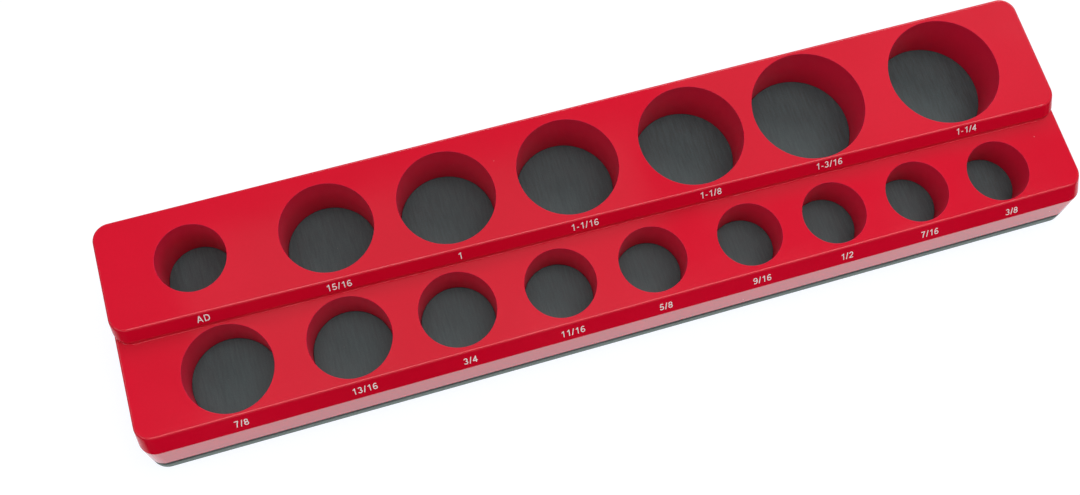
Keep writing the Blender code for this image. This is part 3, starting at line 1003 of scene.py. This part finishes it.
def white_floor(name):
    """White that is part surface and part lamp where it is seen, and all surface elsewhere."""
    made = bpy.data.materials.new(name)
    made.use_nodes = True
    tree = made.node_tree
    tree.nodes.clear()
    out = add_node(tree, "ShaderNodeOutputMaterial")
    path = add_node(tree, "ShaderNodeLightPath")
    seen = calc(tree, "MAXIMUM", path.outputs["Is Camera Ray"], path.outputs["Is Glossy Ray"])
    seen = calc(tree, "MAXIMUM", seen, path.outputs["Is Transmission Ray"])
    lit = add_node(tree, "ShaderNodeBsdfDiffuse", {"Color": floor_paint})
    spot = add_node(tree, "ShaderNodeTexCoord").outputs["Object"]
    place = add_node(tree, "ShaderNodeSeparateXYZ", {0: spot})
    gaps = []
    for axis, half in (("X", half_length), ("Y", half_depth)):
        beyond = minus(tree, calc(tree, "ABSOLUTE", place.outputs[axis]), half)
        gaps.append(calc(tree, "MAXIMUM", beyond, 0.0))
    away = add_node(tree, "ShaderNodeCombineXYZ", {0: gaps[0], 1: gaps[1]})
    away = add_node(tree, "ShaderNodeVectorMath", {0: away.outputs[0]}, operation="LENGTH").outputs["Value"]
    near = spread(tree, away, white_near, white_far, 1.0, far_share)
    glow = calc(tree, "MAXIMUM", near, minus(tree, 1.0, path.outputs["Is Glossy Ray"]))
    part_lit = add_node(tree, "ShaderNodeBsdfDiffuse", {"Color": times(tree, glow, lit_share)})
    shining = add_node(tree, "ShaderNodeEmission",
                       {"Color": floor_shine, "Strength": times(tree, glow, shining_share)})
    shown = add_node(tree, "ShaderNodeAddShader", {0: part_lit.outputs[0], 1: shining.outputs[0]})
    both = add_node(tree, "ShaderNodeMixShader", {0: seen, 1: lit.outputs[0], 2: shown.outputs[0]})
    tree.links.new(both.outputs[0], out.inputs["Surface"])
    return made


floor_white = white_floor("floor_white")
print("nodes in the floor's finish:", len(floor_white.node_tree.nodes))

# %% Lay the floor
reach = 12.0
floor_gap = 0.05 * mm
floor_level = sheet_low.z - floor_gap
floor_mesh = bpy.data.meshes.new("floor")
floor_mesh.from_pydata([(side * reach, depth * reach, floor_level)
                        for side, depth in ((-1, -1), (1, -1), (1, 1), (-1, 1))], [], [(0, 1, 2, 3)])
floor = add_object("floor", floor_mesh, floor_white)
print("floor reaches", reach, "m each way")

# %% [markdown]
# ## Light
# The light is a plain studio. One large soft lamp hangs over the holder and draws the
# thin bright line along each crest. A second one stands behind at the right, so the
# tops grow a little lighter that way, and a narrow strip at the left carries the bright
# line round the corners. Two faint lamps hang where the flat tops mirror the ceiling,
# so the tops take a soft sheen. The dome has a bright ring at half height, which reaches
# the rims of the pockets and leaves their depths dark. Its dark horizon keeps the label
# faces deep red, because a glossy face that leans towards the camera mirrors what
# stands level with it.

# %% Dome
horizon_light, overhead_light, ring_light = 0.008, 0.17, 0.62
dome_rise, ring_start, ring_end = (0.15, 0.95), (0.17, 0.30), (0.56, 0.70)
world = bpy.data.worlds.new("studio")
bpy.context.scene.world = world
world.use_nodes = True
sky = world.node_tree
sky.nodes.clear()
way = add_node(sky, "ShaderNodeTexCoord").outputs["Generated"]
rise = add_node(sky, "ShaderNodeSeparateXYZ", {0: way}).outputs["Z"]
dome = spread(sky, rise, *dome_rise, horizon_light, overhead_light)
ring = times(sky, spread(sky, rise, *ring_start), spread(sky, rise, *ring_end, ring_light, 0.0))
dome = plus(sky, dome, ring)
path = add_node(sky, "ShaderNodeLightPath")
seen = calc(sky, "MAXIMUM", path.outputs["Is Camera Ray"], path.outputs["Is Transmission Ray"])
strength = add_node(sky, "ShaderNodeMix", {0: seen, 2: dome, 3: 1.0}).outputs[0]
background = add_node(sky, "ShaderNodeBackground", {"Color": (1, 1, 1, 1), "Strength": strength})
sky.links.new(background.outputs[0], add_node(sky, "ShaderNodeOutputWorld").inputs["Surface"])
print("nodes in the dome:", len(sky.nodes))


# %% Lamps
def soft_lamp(name, place, aim, width, depth, radiance):
    """Area lamp of a given radiance, aimed at a point."""
    data = bpy.data.lights.new(name, "AREA")
    data.shape = "RECTANGLE"
    data.size, data.size_y = width, depth
    data.energy = radiance * pi * width * depth
    lamp = bpy.data.objects.new(name, data)
    bpy.context.scene.collection.objects.link(lamp)
    lamp.location = place
    lamp.rotation_euler = (Vector(place) - Vector(aim)).to_track_quat("Z", "Y").to_euler()
    return lamp


soft_lamp("lamp_row", (0.20, -0.07, 1.35), (0.20, -0.02, 0.0), 1.40, 0.64, 3.0)
soft_lamp("lamp_left", (-0.95, -0.05, 1.00), (-0.17, 0.0, 0.02), 1.1, 0.12, 3.0)
soft_lamp("lamp_sheen", (-0.02, 0.39, 1.25), (-0.02, 0.39, 0.0), 0.60, 0.26, 0.28)
soft_lamp("lamp_sheen_right", (0.80, 0.57, 1.25), (0.80, 0.57, 0.0), 0.9, 0.38, 0.26)
soft_lamp("lamp_rear", (0.60, 1.00, 1.05), (0.10, 0.0, 0.0), 1.6, 0.6, 2.8)

# %% [markdown]
# ## Camera
# The camera looks down from in front and a little from the left. Its place, lens and
# shift were worked out from the rims of the pockets, which are circles seen from above.

# %% Camera at the viewing angle
camera_place = (-0.0827, -0.1543, 0.4789)
camera_turn = (radians(19.81), radians(-3.4), radians(-16.9))
lens_data = bpy.data.cameras.new("view_camera")
lens_data.lens = 46.0
lens_data.sensor_width = 36.0
lens_data.shift_x, lens_data.shift_y = -0.0414, -0.0135
lens_data.clip_start, lens_data.clip_end = 0.02, 40.0
camera = bpy.data.objects.new("view_camera", lens_data)
bpy.context.scene.collection.objects.link(camera)
camera.location = camera_place
camera.rotation_euler = camera_turn
bpy.context.scene.camera = camera
bpy.context.scene.view_settings.view_transform = "Standard"
print("camera:", tuple(round(v, 4) for v in camera.location), "lens", lens_data.lens)
